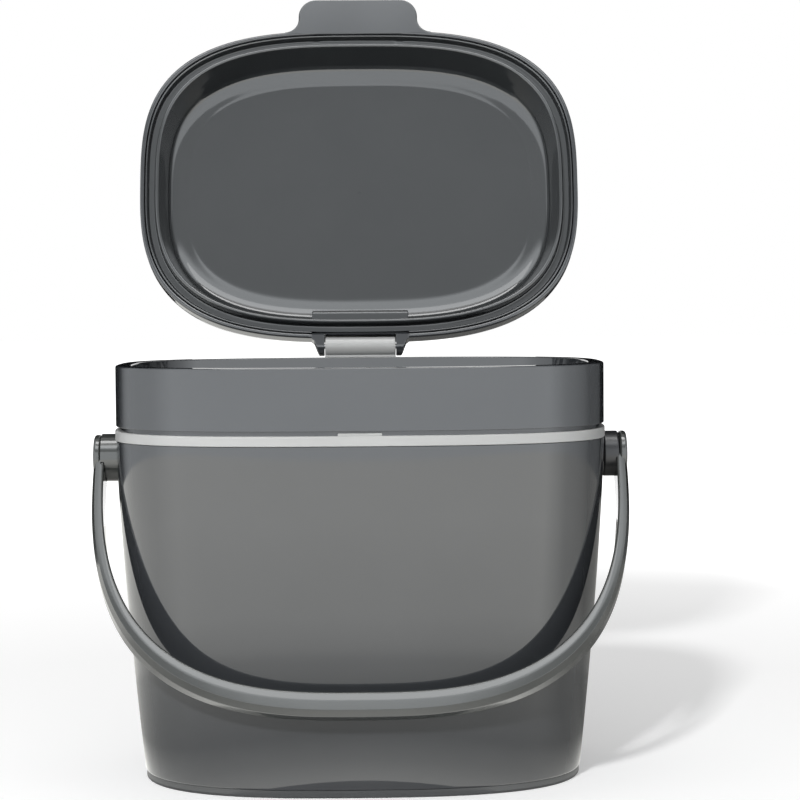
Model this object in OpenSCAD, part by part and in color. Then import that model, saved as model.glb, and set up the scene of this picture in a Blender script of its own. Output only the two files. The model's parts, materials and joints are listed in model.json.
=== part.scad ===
// Compost caddy with a hinged lid, carrying handle and lift-off collar.
// X runs across the caddy, Y from its front to its back, Z up.
// The origin is the centre of the foot pad's underside.
// The caddy is drawn with its lid open and its handle hanging in front.

/* [Plan of the caddy] */
// Width across the collar
collar_w = 282; // [240:1:330]
// Depth over the collar, front to back
collar_d = 208; // [180:1:250]
// Squareness of the plan curve, 2 being an ellipse
plan_power = 3.0; // [2.4:0.1:4]
// Squareness of the plan curve at the base
base_power = 2.75; // [2.2:0.05:4]

/* [Bucket] */
// Height of the bucket's shoulder above the table
shoulder_z = 195.5; // [150:0.5:240]
// How much narrower the base is than the shoulder, on each side
side_taper = 14.5; // [6:0.5:24]
// How much of the taper sits low on the wall, 1 being a straight wall
side_bow = 1.4; // [1:0.1:2]
// Wall of the bucket
bucket_wall = 2.6; // [2:0.1:4]
// Thickness of the bucket's floor
floor_t = 3; // [2:0.1:5]
// Rounding between the wall and the floor
base_round = 1.2; // [0.8:0.1:6]
// Height of the mouth's upstand above the shoulder
mouth_h = 10; // [8:0.5:14]
// Thickness of the mouth's upstand
mouth_t = 2.4; // [1.8:0.1:3.5]

/* [Foot pad] */
// Thickness of the foot pad
foot_h = 4.3; // [2:0.1:6]
// Step from the bucket's wall in to the foot pad
foot_inset = 0.6; // [0.4:0.1:10]
// Width of the pad's outer land
foot_land = 8; // [4:0.5:14]
// Width of the groove inside that land
foot_groove_w = 5; // [2:0.5:10]
// Depth of that groove
foot_groove_d = 1; // [0.5:0.1:1.5]

/* [Accent ring] */
// Height of the light ring round the mouth
ring_h = 5.7; // [4:0.1:9]
// How far the ring stands proud of the wall
ring_proud = 0.5; // [0:0.1:1]
// Width of the ring's section
ring_w = 4.9; // [3.5:0.1:7]
// Width of the catch at the front of the ring
catch_w = 24; // [10:1:50]
// Height of that catch
catch_h = 1.4; // [0.8:0.1:2]
// Thickness of that catch
catch_t = 1.2; // [0.8:0.1:1.4]

/* [Collar] */
// Height of the collar's outer wall
collar_h = 34.5; // [28:0.5:50]
// Wall of the collar
collar_wall = 2.6; // [2:0.1:4]
// Height of the shadow gap between ring and collar
shadow_gap = 2.4; // [1.5:0.1:4]
// Depth of the shadow gap
gap_depth = 2.2; // [1:0.1:2.5]
// Width of the flat land on the collar's rim
land_w = 9; // [7:0.5:12]
// Depth of the step that the lid's rib drops into
step_d = 8.5; // [6:0.5:11]
// Width of the ledge at the foot of the step
ledge_w = 5; // [4:0.5:8]
// How far the collar's skirt reaches down inside the bucket's shoulder
skirt_reach = 4; // [3:0.5:6]

/* [Lid] */
// Step from the collar's edge in to the lid's edge
lid_inset = 1; // [0.5:0.1:3]
// Gap between the collar's rim and the closed lid's edge
lid_gap = 0.6; // [0.4:0.1:1.5]
// Height of the lid's cover
cover_h = 31; // [28:0.5:40]
// Thickness of the lid's cover
cover_t = 2.2; // [1.8:0.1:3]
// Thickness of the lid's liner
liner_t = 1.9; // [1.5:0.1:2.5]
// Depth of the channel inside the lid's edge
channel_d = 5.5; // [4:0.5:7]
// Inset of the lid's rib from the lid's edge
rib_inset = 9; // [8:0.1:10]
// Thickness of the lid's rib
rib_t = 2.5; // [2:0.1:3]
// How far the rib reaches below the lid's edge
rib_reach = 7; // [4:0.5:7.5]
// How far the open lid leans back from upright
lid_lean = 15; // [8:1:20]

/* [Thumb tab] */
// Width of the thumb tab
tab_w = 77; // [50:1:100]
// How far the thumb tab stands out
tab_l = 21; // [12:0.5:26]
// Thickness of the thumb tab
tab_t = 3; // [2.5:0.1:4.5]
// Corner radius of the thumb tab
tab_r = 11.5; // [6:0.5:12]
// Radius where the tab flares into the lid
tab_flare_r = 9; // [5:0.5:12]

/* [Hinge] */
// Diameter of the light hinge barrel
barrel_d = 12; // [10:0.5:12]
// Length of the hinge barrel
barrel_l = 44.5; // [30:0.5:60]
// Thickness of each ear of the lid
ear_t = 5.5; // [4:0.5:8]
// Height of the hinge line above the collar's rim
hinge_rise = 6.5; // [6.5:0.1:8]
// Distance of the hinge line behind the lid's edge
hinge_back = 4; // [3:0.1:6]
// Width of the pad inside the lid, over the hinge
pad_w = 61; // [40:1:80]
// How far that pad stands out from the liner
pad_t = 2.2; // [1:0.1:4]
// Diameter of the hinge pin
hinge_pin_d = 3; // [2.5:0.1:4]
// Thickness of the bracket's leg on the back of the collar
leg_t = 3.5; // [3:0.1:4.5]
// Length of the bracket's leg below the rim
leg_l = 27; // [20:0.5:30]
// Distance between the two bracket screws
screw_pitch = 28; // [18:1:32]
// Diameter of the bracket screws
screw_d = 3; // [2.5:0.1:4]

/* [Handle] */
// Distance from the pivot to the outside of the grip
handle_reach = 172.5; // [168:0.5:220]
// Squareness of the handle's curve
handle_power = 2.85; // [2.2:0.05:3.5]
// Thickness of the handle's arms
arm_t = 6.8; // [5:0.1:8]
// Width of the handle's arms
arm_w = 20; // [14:0.5:22]
// Thickness of the grip, in the plane of the handle
grip_t = 13; // [9:0.5:16]
// Width of the grip, across the plane of the handle
grip_w = 11.5; // [9:0.5:18]

/* [Handle pivots] */
// Depth of the pivots below the bucket's shoulder
pivot_drop = 12.2; // [8:0.1:20]
// Diameter of each pivot bearing
bearing_d = 26.6; // [20:0.2:28]
// How far each bearing stands out, from its seat on the wall to the handle
bearing_t = 9; // [6:0.5:14]
// Diameter of the spigot that fixes a bearing in the bucket's wall
spigot_d = 10; // [8:0.5:10]
// Diameter of the pivot pins
pivot_pin_d = 6; // [4:0.5:8]
// Diameter of a pivot pin's head
pin_head_d = 12; // [9:0.5:16]
// Thickness of a pivot pin's head
pin_head_t = 1.6; // [1:0.1:2]

/* [Fits] */
// Radial clearance of a turning pin in its bore
pin_clear = 0.05; // [0.03:0.01:0.1]
// Clearance between faces that move past each other
move_clear = 0.3; // [0.2:0.05:0.6]
// Clearance between pieces that fit over each other and stay put
seat_clear = 0.2; // [0.1:0.05:0.3]

/* [Hidden] */
plan_steps = 96;
arc_steps = 4;
$fn = 64;

half_w = collar_w / 2;
half_d = collar_d / 2;
ring_z = shoulder_z;
ring_top = ring_z + ring_h;
collar_z = ring_top + shadow_gap;
rim_z = collar_z + collar_h;
mouth_inset = ring_w - ring_proud + seat_clear;
seat_w = mouth_inset - move_clear;
opening_inset = land_w + ledge_w;
lid_z = rim_z + lid_gap;
lid_half_w = half_w - lid_inset;
lid_half_d = half_d - lid_inset;
hinge_y = lid_half_d + hinge_back;
hinge_z = rim_z + hinge_rise;
open_turn = 90 + lid_lean;
leg_y = half_d + seat_clear / 2;
screw_l = opening_inset + leg_t - collar_wall;
pivot_z = shoulder_z - pivot_drop;
bearing_in = half_w + ring_proud + move_clear;
bearing_out = bearing_in + bearing_t;
dome_h = cover_h - cover_t - liner_t - seat_clear;
wall_lean = 5.5;
eye_t = 0.65 * arm_t;
eye_out = bearing_out + move_clear + eye_t;
// The hanging handle leans out until its grip is level with the collar's front.
handle_rest = asin(half_d / (handle_reach - grip_t / 2));

// A point of the plan curve with half sizes a and b and squareness p, at polar angle t.
function plan_r(a, b, t, p) = pow(pow(abs(cos(t)) / a, p) + pow(abs(sin(t)) / b, p), -1 / p);
function plan_point(a, b, t, p) = [plan_r(a, b, t, p) * cos(t), plan_r(a, b, t, p) * sin(t)];
function plan(a, b, p = plan_power) =
    [for (i = [0 : plan_steps - 1]) plan_point(a, b, 360 * i / plan_steps, p)];

// One ring of points: row = [inset, scale, height] on half sizes a and b, with a fourth value
// where its squareness isn't the collar's.
function plan_ring(a, b, row) =
    let (p = len(row) > 3 ? row[3] : plan_power)
    [for (q = plan((a - row[0]) * row[1], (b - row[0]) * row[1], p)) [q[0], q[1], row[2]]];
function joined(lists) = [for (l = lists) for (v = l) v];
function band(i, j, n) =
    joined([for (k = [0 : n - 1]) let (next = (k + 1) % n)
        [[i * n + k, i * n + next, j * n + next], [i * n + k, j * n + next, j * n + k]]]);

// A hoop whose section is the closed outline of rows, seen with the outside first going up.
module hoop(a, b, rows) {
    n = plan_steps;
    m = len(rows);
    points = joined([for (row = rows) plan_ring(a, b, row)]);
    faces = joined([for (i = [0 : m - 1]) band(i, (i + 1) % m, n)]);
    polyhedron(points, [for (f = faces) [f[2], f[1], f[0]]], convexity = 8);
}

// A shell closed at both ends: rows run from one pole to the other.
module shell(a, b, rows) {
    n = plan_steps;
    m = len(rows);
    last = m * n;
    points = concat(joined([for (row = rows) plan_ring(a, b, row)]),
                    [[0, 0, rows[0][2]], [0, 0, rows[m - 1][2]]]);
    sides = joined([for (i = [0 : m - 2]) band(i, i + 1, n)]);
    first_cap = [for (k = [0 : n - 1]) [last, (k + 1) % n, k]];
    last_cap = [for (k = [0 : n - 1]) [last + 1, (m - 1) * n + k, (m - 1) * n + (k + 1) % n]];
    polyhedron(points, [for (f = concat(sides, first_cap, last_cap)) [f[2], f[1], f[0]]], convexity = 8);
}

// Rows of an arc in a section, round a centre at [inset, height].
function arc_rows(inset, height, r, from, to) =
    [for (i = [0 : arc_steps])
        let (t = from + (to - from) * i / arc_steps) [inset + r * cos(t), 1, height + r * sin(t)]];

// How far the bucket's wall has come in at height z.
function taper_at(z) =
    side_taper * pow(max(0, (shoulder_z - z) / shoulder_z), side_bow);
// The wall's plan grows squarer from the base up to the shoulder.
function power_at(z) = base_power + (plan_power - base_power) * min(1, z / shoulder_z);
function squared(rows) = [for (row = rows) concat(row, power_at(row[2]))];
function wall_rows(inset, z0, z1, steps) =
    [for (i = [0 : steps]) let (z = z0 + (z1 - z0) * i / steps) [inset + taper_at(z), 1, z]];

module bucket() {
    wall_steps = 5;
    fillet_end = 12;
    inner_floor = foot_h + floor_t;
    mouth_z = shoulder_z + mouth_h;
    low = foot_h + base_round;
    inner_low = inner_floor + base_round;
    color([0.38, 0.39, 0.41])
    difference() {
        shell(half_w, half_d, squared(concat(
            arc_rows(base_round + taper_at(low), low, base_round, 270, 180),
            wall_rows(0, low + fillet_end, shoulder_z, wall_steps),
            [[mouth_inset, 1, shoulder_z]],
            [[mouth_inset, 1, mouth_z], [mouth_inset + mouth_t, 1, mouth_z]],
            [[mouth_inset + mouth_t, 1, shoulder_z - bucket_wall]],
            wall_rows(bucket_wall, shoulder_z - bucket_wall - 0.4, inner_low + fillet_end, wall_steps),
            arc_rows(bucket_wall + base_round + taper_at(inner_low), inner_low, base_round, 180, 270))));
        for (side = [-1, 1])
            translate([side * half_w, 0, pivot_z])
                rotate([0, 90, 0])
                    cylinder(d = spigot_d + 2 * pin_clear, h = 6 * bucket_wall, center = true);
    }
}

module foot_pad() {
    inset = foot_inset + taper_at(foot_h);
    groove = inset + foot_land;
    power = power_at(foot_h);
    color([0.16, 0.16, 0.17])
    difference() {
        linear_extrude(height = foot_h)
            polygon(plan(half_w - inset, half_d - inset, power));
        translate([0, 0, -1])
            linear_extrude(height = foot_groove_d + 1)
                difference() {
                    polygon(plan(half_w - groove, half_d - groove, power));
                    polygon(plan(half_w - groove - foot_groove_w, half_d - groove - foot_groove_w, power));
                }
    }
}

module accent_ring() {
    inner = ring_w - ring_proud;
    catch_in = gap_depth - seat_clear - catch_t;
    color([0.78, 0.79, 0.78]) {
        translate([0, 0, ring_z])
            linear_extrude(height = ring_h)
                difference() {
                    polygon(plan(half_w + ring_proud, half_d + ring_proud));
                    polygon(plan(half_w - inner, half_d - inner));
                }
        translate([-catch_w / 2, catch_in - half_d, ring_top - catch_h])
            cube([catch_w, catch_t, 2 * catch_h]);
    }
}

// The right-hand bearing: a round boss, its spigot through the wall and a snap lip inside.
module bearing() {
    wall_in = half_w - taper_at(pivot_z - spigot_d / 2) - bucket_wall;
    lip_t = 1.4;
    lip_step = 0.8;
    bevel = 1;
    translate([0, 0, pivot_z])
        rotate([0, 90, 0])
            difference() {
                union() {
                    translate([0, 0, bearing_in])
                        cylinder(d = bearing_d, h = bearing_out - bearing_in - bevel);
                    translate([0, 0, bearing_out - bevel])
                        cylinder(d1 = bearing_d, d2 = bearing_d - 2 * bevel, h = bevel);
                    translate([0, 0, wall_in - lip_t])
                        cylinder(d = spigot_d, h = bearing_in - wall_in + lip_t + 1);
                    translate([0, 0, wall_in - move_clear - lip_t])
                        cylinder(d = spigot_d + 2 * lip_step, h = lip_t);
                }
                translate([0, 0, bearing_in])
                    cylinder(d = pivot_pin_d + 2 * pin_clear, h = bearing_out - bearing_in + 1);
            }
}

module left_bearing() {
    color([0.2, 0.2, 0.22])
        mirror([1, 0, 0])
            bearing();
}

module right_bearing() {
    color([0.2, 0.2, 0.22])
        bearing();
}

// The handle's curve in its own plane: across in X and down from the pivot.
function bow_point(a, r, t) =
    [a * sign(cos(t)) * pow(abs(cos(t)), 2 / handle_power), -r * pow(sin(t), 2 / handle_power)];

// One section of the handle: k = 0 at an end and 1 at the grip.
function section_point(t_in, w, u) =
    let (c = cos(u), s = sin(u), q = 4)
    [t_in / 2 * sign(c) * pow(abs(c), 2 / q), w / 2 * sign(s) * pow(abs(s), 2 / q)];

module bow() {
    rings = 56;
    sides = 16;
    end_angle = 0.4;
    look = 0.2;
    angles = [for (i = [0 : rings]) end_angle + (180 - 2 * end_angle) * i / rings];
    points = joined([for (t = angles)
        let (k = pow(sin(t), 2),
             thick = arm_t + (grip_t - arm_t) * k,
             wide = arm_w + (grip_w - arm_w) * k,
             a = eye_out - thick / 2,
             r = handle_reach - thick / 2,
             p = bow_point(a, r, t),
             ahead = bow_point(a, r, t + look) - bow_point(a, r, t - look),
             out = [ahead[1], -ahead[0]] / norm(ahead))
        [for (j = [0 : sides - 1])
            let (q = section_point(thick, wide, 360 * (j + 0.5) / sides))
            [p[0] - out[0] * q[0], q[1], p[1] - out[1] * q[0]]]]);
    walls = joined([for (i = [0 : rings - 1]) band(i, i + 1, sides)]);
    start = [for (j = [sides - 1 : -1 : 0]) j];
    end = [for (j = [0 : sides - 1]) rings * sides + j];
    polyhedron(points, concat(walls, [start, end]), convexity = 6);
}

module handle() {
    eye_bevel = 2;
    reach_in = 20;
    color([0.4, 0.41, 0.42])
    translate([0, 0, pivot_z])
        rotate([-handle_rest, 0, 0])
            difference() {
                union() {
                    bow();
                    for (side = [-1, 1])
                        rotate([0, side * 90, 0]) {
                            translate([0, 0, eye_out - eye_t])
                                cylinder(d = bearing_d, h = eye_t - eye_bevel);
                            translate([0, 0, eye_out - eye_bevel])
                                cylinder(d1 = bearing_d, d2 = bearing_d - 3 * eye_bevel, h = eye_bevel);
                        }
                }
                for (side = [-1, 1])
                    rotate([0, side * 90, 0]) {
                        translate([0, 0, eye_out - eye_t - reach_in])
                            cylinder(d = bearing_d + 4 * move_clear, h = reach_in);
                        cylinder(d = pivot_pin_d, h = eye_out + 1);
                        translate([0, 0, eye_out - pin_head_t])
                            cylinder(d = pin_head_d + 2 * seat_clear, h = pin_head_t + 1);
                    }
            }
}

module pivot_pin() {
    translate([0, 0, pivot_z])
        rotate([0, 90, 0]) {
            translate([0, 0, bearing_in + move_clear])
                cylinder(d = pivot_pin_d, h = eye_out - pin_head_t - bearing_in);
            translate([0, 0, eye_out - pin_head_t])
                cylinder(d = pin_head_d, h = pin_head_t);
        }
}

module left_pivot_pin() {
    color([0.22, 0.22, 0.24])
        mirror([1, 0, 0])
            pivot_pin();
}

module right_pivot_pin() {
    color([0.22, 0.22, 0.24])
        pivot_pin();
}

// Places its children at both screws of the hinge bracket, pointing forwards.
module at_screws() {
    below_middle = 4;
    for (side = [-1, 1])
        translate([side * screw_pitch / 2, leg_y + leg_t, rim_z - leg_l / 2 - below_middle])
            rotate([90, 0, 0])
                children();
}

module collar() {
    edge = 1;
    seat_h = 7;
    skirt_z = shoulder_z - skirt_reach;
    step_in = land_w - collar_wall;
    skirt_in = opening_inset - collar_wall;
    ledge_z = rim_z - step_d;
    boss_d = screw_d + 5;
    color([0.42, 0.43, 0.46])
    difference() {
        union() {
            hoop(half_w, half_d, concat(
                [[gap_depth, 1, collar_z], [0, 1, collar_z]],
                arc_rows(edge, rim_z - edge, edge, 180, 90),
                [[land_w, 1, rim_z], [land_w, 1, ledge_z], [opening_inset, 1, ledge_z]],
                [[opening_inset, 1, skirt_z], [skirt_in, 1, skirt_z]],
                [[skirt_in, 1, ledge_z - collar_wall], [step_in, 1, ledge_z - collar_wall]],
                [[step_in, 1, rim_z - collar_wall], [collar_wall, 1, rim_z - collar_wall]],
                [[collar_wall, 1, collar_z + seat_h], [seat_w, 1, collar_z + seat_h]],
                [[seat_w, 1, ring_top], [gap_depth, 1, ring_top]]));
            intersection() {
                at_screws()
                    cylinder(d = boss_d, h = screw_l + collar_wall / 2);
                translate([-half_w, 0, 0])
                    cube([collar_w, half_d - 1, rim_z]);
            }
        }
        at_screws()
            cylinder(d = screw_d, h = screw_l);
    }
}

module hinge_bracket() {
    color([0.74, 0.75, 0.74])
    difference() {
        union() {
            translate([0, hinge_y, hinge_z])
                rotate([0, 90, 0])
                    cylinder(d = barrel_d, h = barrel_l, center = true);
            translate([-barrel_l / 2, leg_y, rim_z - leg_l])
                cube([barrel_l, leg_t, leg_l + hinge_rise]);
        }
        translate([0, hinge_y, hinge_z])
            rotate([0, 90, 0])
                cylinder(d = hinge_pin_d + 2 * pin_clear, h = barrel_l + 1, center = true);
        at_screws()
            translate([0, 0, -1])
                cylinder(d = screw_d + 2 * pin_clear, h = leg_t + 2);
    }
}

module hinge_screws() {
    head_d = 5.6;
    head_t = 1.8;
    slot_d = 2.4;
    slot_depth = 1;
    color([0.7, 0.7, 0.72])
    at_screws()
        difference() {
            union() {
                cylinder(d = screw_d, h = screw_l - 1);
                translate([0, 0, -head_t])
                    cylinder(d = head_d, h = head_t);
            }
            translate([0, 0, -head_t - 1])
                cylinder(d = slot_d, h = slot_depth + 1, $fn = 6);
        }
}

// Turns what is drawn for the closed lid into its open place.
module opened() {
    translate([0, hinge_y, hinge_z])
        rotate([-open_turn, 0, 0])
            translate([0, -hinge_y, -hinge_z])
                children();
}

module tab_outline() {
    front = -lid_half_d - tab_l;
    root = -lid_half_d + cover_t;
    half = tab_w / 2;
    for (side = [-1, 1])
        translate([side * (half - tab_r), front + tab_r])
            circle(r = tab_r);
    translate([-half + tab_r, front])
        square([tab_w - 2 * tab_r, root - front]);
    translate([-half, front + tab_r])
        square([tab_w, root - front - tab_r]);
    for (side = [-1, 1])
        difference() {
            translate([side * (half + tab_flare_r / 2), root - tab_flare_r / 2 - cover_t])
                square([tab_flare_r, tab_flare_r], center = true);
            translate([side * (half + tab_flare_r), root - tab_flare_r - cover_t])
                circle(r = tab_flare_r);
        }
}

module lid_cover() {
    ear_r = barrel_d / 2;
    pocket_r = barrel_d / 2 + 2 * move_clear;
    ear_gap = barrel_l / 2 + move_clear;
    edge = 0.6;
    color([0.4, 0.41, 0.43])
    opened()
    difference() {
        union() {
            translate([0, 0, lid_z])
                shell(lid_half_w, lid_half_d, concat(
                    reversed(cover_rows(cover_t, -cover_t)),
                    [[cover_t, 1, edge], [cover_t - edge, 1, 0], [edge, 1, 0], [0, 1, edge]],
                    cover_rows(0, 0)));
            translate([0, 0, lid_z])
                linear_extrude(height = tab_t)
                    tab_outline();
            intersection() {
                translate([0, hinge_y, hinge_z])
                    rotate([0, 90, 0])
                        cylinder(r = pocket_r + cover_t, h = 2 * (ear_gap + ear_t), center = true);
                translate([-half_w, lid_half_d - hinge_y, lid_z])
                    cube([collar_w, hinge_y - cover_t / 2, cover_h]);
            }
            for (side = [-1, 1])
                translate([side * (ear_gap + ear_t / 2), 0, 0]) {
                    translate([0, hinge_y, hinge_z])
                        rotate([0, 90, 0])
                            cylinder(r = ear_r, h = ear_t, center = true);
                    translate([-ear_t / 2, lid_half_d - cover_t, hinge_z])
                        cube([ear_t, hinge_back + cover_t, ear_r]);
                    translate([-ear_t / 2, lid_half_d - cover_t, lid_z])
                        cube([ear_t, hinge_back, ear_r]);
                }
        }
        translate([0, hinge_y, hinge_z])
            rotate([0, 90, 0]) {
                cylinder(r = pocket_r, h = 2 * ear_gap, center = true);
                cylinder(d = hinge_pin_d, h = 2 * (ear_gap + ear_t) + 1, center = true);
            }
        translate([-ear_gap, hinge_y - pocket_r, lid_z - 1])
            cube([2 * ear_gap, 2 * pocket_r, hinge_z - lid_z + 1]);
    }
}

// The cover from its wall up to its roof: a rounded shoulder, then a shallow crown.
// Rows are [inset, scale, share of the cover's height].
function reversed(list) = [for (i = [len(list) - 1 : -1 : 0]) list[i]];
function cover_rows(inset, drop) =
    [for (row = [[0, 1, 0.32], [0.6, 1, 0.48], [2.6, 1, 0.63], [7, 1, 0.77], [14, 1, 0.87], [23, 1, 0.925],
                 [34, 1, 0.955], [34, 0.75, 0.982], [34, 0.4, 0.996], [34, 0.1, 1]])
        [row[0] + (row[0] < 30 ? inset : 0), row[1], cover_h * row[2] + drop]];

// The liner's dome, from the top of its wall to its crown.
// Rows are [inset behind the rib, scale, share of the dome's height].
function dome_rows(start, drop) =
    [for (row = [[0, 1, 0.5], [0.9, 1, 0.65], [2.9, 1, 0.765], [5.4, 1, 0.83], [9, 1, 0.88], [16, 1, 0.925],
                 [23, 0.75, 0.975], [23, 0.4, 0.995], [23, 0.1, 1]])
        [start + row[0], row[1], dome_h * row[2] + drop]];

module lid_liner() {
    edge_z = 1.2;
    edge_w = 1;
    draft = 0.4;
    round = 0.5;
    rib_in = rib_inset + rib_t;
    floor_top = channel_d + liner_t;
    wall_in = lid_half_d - rib_in;
    color([0.37, 0.38, 0.4])
    opened()
    translate([0, 0, lid_z])
    difference() {
        union() {
            shell(lid_half_w, lid_half_d, concat(
                reversed(dome_rows(rib_in + wall_lean, 0)),
                [[rib_in, 1, -rib_reach + round], [rib_in - round, 1, -rib_reach]],
                [[rib_inset + round, 1, -rib_reach], [rib_inset, 1, -rib_reach + round]],
                [[rib_inset - draft, 1, channel_d], [cover_t + edge_w + 2 * draft, 1, channel_d]],
                [[cover_t + edge_w, 1, edge_z], [cover_t, 1, edge_z], [cover_t, 1, floor_top]],
                [[rib_in - 2 * draft, 1, floor_top]],
                dome_rows(rib_in + wall_lean - liner_t / 2, liner_t)));
            rotate([90, 0, 90])
                translate([0, 0, -pad_w / 2])
                    linear_extrude(height = pad_w)
                        polygon([[wall_in + round, -rib_reach + 2 * round],
                                 [wall_in - pad_t - round, -rib_reach + 2 * round + pad_t],
                                 [wall_in - pad_t - wall_lean / 2, channel_d],
                                 [wall_in - wall_lean / 2, channel_d + 2 * pad_t]]);
        }
        translate([-pad_w / 2, lid_half_d - rib_inset + 1, -rib_reach - 1])
            cube([pad_w, rib_inset, rib_reach + floor_top + 2]);
    }
}

module hinge_pin() {
    color([0.75, 0.75, 0.77])
    translate([0, hinge_y, hinge_z])
        rotate([0, 90, 0])
            cylinder(d = hinge_pin_d, h = barrel_l + 2 * (move_clear + ear_t) - 1, center = true);
}

bucket();
foot_pad();
accent_ring();
left_bearing();
right_bearing();
handle();
left_pivot_pin();
right_pivot_pin();
collar();
hinge_bracket();
hinge_screws();
lid_cover();
lid_liner();
hinge_pin();
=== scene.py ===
import json
import math
import bpy
from mathutils import Matrix, Vector


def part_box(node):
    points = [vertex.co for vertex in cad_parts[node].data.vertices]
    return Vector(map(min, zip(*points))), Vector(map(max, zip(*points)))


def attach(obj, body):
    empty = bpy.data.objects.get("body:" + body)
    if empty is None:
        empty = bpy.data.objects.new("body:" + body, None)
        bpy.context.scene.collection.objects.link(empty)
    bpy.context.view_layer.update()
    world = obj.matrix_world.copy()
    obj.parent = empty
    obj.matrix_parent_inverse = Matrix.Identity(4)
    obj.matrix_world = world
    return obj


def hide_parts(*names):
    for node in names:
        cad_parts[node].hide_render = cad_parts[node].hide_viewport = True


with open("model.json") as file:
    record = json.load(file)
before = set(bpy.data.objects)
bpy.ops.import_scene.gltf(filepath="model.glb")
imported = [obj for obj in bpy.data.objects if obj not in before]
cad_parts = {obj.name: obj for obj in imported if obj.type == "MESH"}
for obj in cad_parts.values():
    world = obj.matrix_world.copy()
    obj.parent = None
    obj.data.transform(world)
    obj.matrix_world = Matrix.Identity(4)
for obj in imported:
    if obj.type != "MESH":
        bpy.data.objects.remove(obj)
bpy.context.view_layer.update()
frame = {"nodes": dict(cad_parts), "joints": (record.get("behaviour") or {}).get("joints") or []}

# corners of the solids' boxes, in metres
collarLow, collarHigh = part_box("collar")
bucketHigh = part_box("bucket")[1]
ringLow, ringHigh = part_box("accent_ring")
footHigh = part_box("foot_pad")[1]
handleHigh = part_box("handle")[1]
bearingLow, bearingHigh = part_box("right_bearing")
bracketLow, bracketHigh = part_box("hinge_bracket")
pinLow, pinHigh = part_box("hinge_pin")
screwLow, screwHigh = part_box("hinge_screws")

halfW, halfD = collarHigh.x, collarHigh.y      # half width and half depth of the caddy's plan
rimZ = collarHigh.z                            # top of the collar
shoulderZ = ringLow.z                          # top of the bucket's wall, where the ring sits
pivotZ = (bearingLow.z + bearingHigh.z) / 2    # height of the handle's pivots
hinge = (pinLow + pinHigh) / 2                 # middle of the hinge line
joints = {joint["name"]: joint for joint in frame["joints"]}
openTurn = math.radians(joints["lid_hinge"]["range_deg"][1])

# the plan curve |x/a|^power + |y/b|^power = 1, rounder towards the bucket's base, and its number of points
plan = {"power": 3.0, "basePower": 2.75, "steps": 240}
edgeAngles = {"bevelFrom": 40, "smoothBelow": 32}     # in degrees
past = 0.001             # how far a cutter reaches past the face that it cuts
samePlace = 1e-6         # points closer than this are merged


def deselectAll():
    if bpy.context.mode != "OBJECT":
        bpy.ops.object.mode_set(mode="OBJECT")
    bpy.ops.object.select_all(action="DESELECT")


def selectOnly(piece):
    deselectAll()
    piece.select_set(True)
    bpy.context.view_layer.objects.active = piece


def named(piece, name):
    piece.name = piece.data.name = name
    return piece


def planPoint(a, b, angle):
    p = plan["power"]
    r = ((abs(math.cos(angle)) / a) ** p + (abs(math.sin(angle)) / b) ** p) ** (-1 / p)
    return r * math.cos(angle), r * math.sin(angle)


def powerAt(z):
    return plan["basePower"] + (plan["power"] - plan["basePower"]) * min(1.0, z / shoulderZ)


def inPlan(inset, z, scale=1.0):
    # one row of a shell: half width, half depth, height
    return ((halfW - inset) * scale, (halfD - inset) * scale, z)


def arcPoints(x, y, radius, fromDeg, toDeg, steps=10):
    turns = [math.radians(fromDeg + (toDeg - fromDeg) * i / steps) for i in range(steps + 1)]
    return [(x + radius * math.cos(t), y + radius * math.sin(t)) for t in turns]


def arcRows(inset, z, radius, fromDeg, toDeg, steps):
    # rows of a shell along an arc: 180 degrees is its outer side and 90 its top
    return [inPlan(x, y) for x, y in arcPoints(inset, z, radius, fromDeg, toDeg, steps)]


def smoothRows(rows, steps):
    # a smooth line through all the rows
    points = [Vector(row) for row in rows]
    out = []
    for i in range(len(points) - 1):
        p0, p1 = points[max(i - 1, 0)], points[i]
        p2, p3 = points[i + 1], points[min(i + 2, len(points) - 1)]
        for step in range(steps):
            t = step / steps
            bend = (2 * p0 - 5 * p1 + 4 * p2 - p3) * t ** 2 + (3 * p1 - p0 - 3 * p2 + p3) * t ** 3
            out.append(tuple(0.5 * (2 * p1 + (p2 - p0) * t + bend)))
    return out + [tuple(rows[-1])]


def closeUp():
    # ends edit mode with doubles merged and all faces turned out
    bpy.ops.mesh.select_all(action="SELECT")
    bpy.ops.mesh.remove_doubles(threshold=samePlace)
    bpy.ops.mesh.normals_make_consistent(inside=False)
    bpy.ops.object.mode_set(mode="OBJECT")


def loft(name, rows, hoop=False, pole=False):
    # a circle takes the plan's shape and is extruded and resized from row to row
    deselectAll()
    fill = "NOTHING" if hoop else "NGON"
    bpy.ops.mesh.primitive_circle_add(vertices=plan["steps"], radius=1, fill_type=fill)
    piece = named(bpy.context.object, name)
    a, b, z = rows[0]
    for v in piece.data.vertices:
        v.co = (*planPoint(a, b, math.atan2(v.co.y, v.co.x)), z)
    bpy.ops.object.mode_set(mode="EDIT")
    bpy.ops.mesh.select_all(action="SELECT")
    for (a0, b0, z0), (a1, b1, z1) in zip(rows, rows[1:]):
        bpy.ops.mesh.extrude_region_move(TRANSFORM_OT_translate={"value": (0, 0, z1 - z0)})
        bpy.ops.transform.resize(value=(a1 / a0, b1 / b0, 1), center_override=(0, 0, z1))
    if pole:
        bpy.ops.mesh.merge(type="CENTER")
    closeUp()
    return piece


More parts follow.
